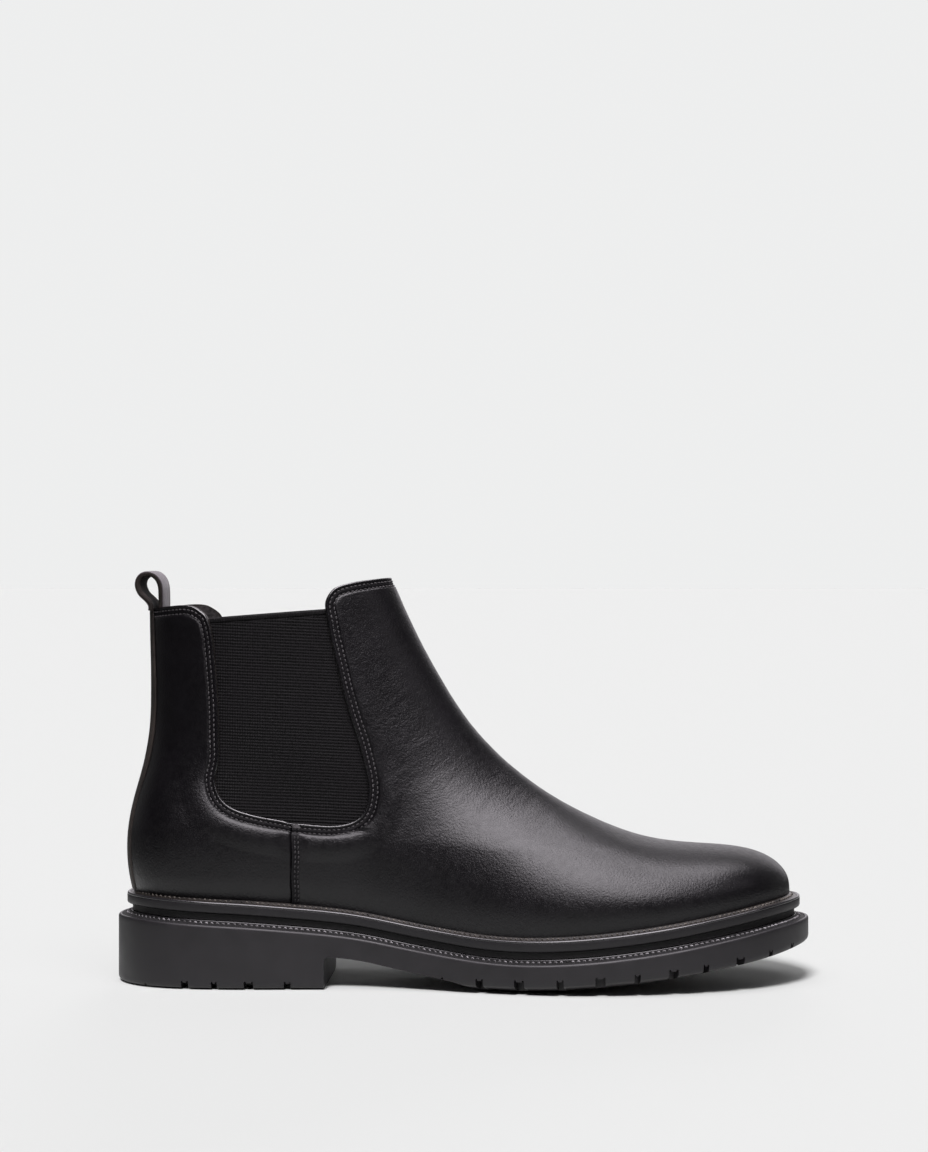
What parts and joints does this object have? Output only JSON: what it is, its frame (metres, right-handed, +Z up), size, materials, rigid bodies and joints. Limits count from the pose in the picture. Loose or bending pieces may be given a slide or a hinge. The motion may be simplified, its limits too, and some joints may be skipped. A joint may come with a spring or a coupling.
{
  "type": "chelsea_boot",
  "caption": "Black leather chelsea boot for the right foot with ribbed elastic gores, a back pull loop and a notched rubber sole with a low heel",
  "frame": {"origin": "the middle of the heel tread, on the ground", "axes": "+X heel to toe, +Y towards the inner side of the foot, +Z up"},
  "size_m": [0.306, 0.1075, 0.181],
  "materials": {
    "black_leather": "smooth calf leather, satin, fine grain, soft creases at the ankle",
    "elastic": "matt ribbed elastic",
    "lining": "matt lining leather",
    "stiffener": "matt non-woven stiffener",
    "sole_rubber": "satin moulded rubber, dark grey",
    "welt_rubber": "satin, brighter at its rounded edge",
    "thread": "waxed thread, grey-beige",
    "board": "matt fibre board",
    "cork": "granular cork filler",
    "steel": "tempered spring steel strip",
    "sock": "matt brown sock leather over foam"
  },
  "bodies": {
    "boot": {"vamp": "black_leather", "quarter_lateral": "black_leather", "quarter_medial": "black_leather", "backstay": "black_leather", "gore_lateral": "elastic", "gore_medial": "elastic", "vamp_lining": "lining", "quarter_lining": "lining", "heel_counter": "stiffener", "toe_puff": "stiffener", "insole_board": "board", "footbed": "sock", "cork_filler": "cork", "shank": "steel", "welt": "welt_rubber", "midsole": "sole_rubber", "outsole": "sole_rubber", "heel_core": "cork", "welt_stitch": "thread", "outsole_stitch": "thread"},
    "front_shaft": {"vamp_shaft": "black_leather", "shaft_lining_front": "lining"},
    "loop": {"pull_loop": "black_leather"}
  },
  "joints": [
    {"name": "shaft_flex", "type": "hinge", "parent": "boot", "child": "front_shaft", "pos_m": [0.1405, 0, 0.0905], "axis": [0, 1, 0], "range_deg": [0, 8], "stiffness_Nm_per_rad": 0.8, "deforming": ["gore_lateral", "gore_medial"]},
    {"name": "pull_loop_flop", "type": "hinge", "parent": "boot", "child": "loop", "pos_m": [-0.0246, 0, 0.1668], "axis": [0, 1, 0], "range_deg": [-60, 35]}
  ]
}
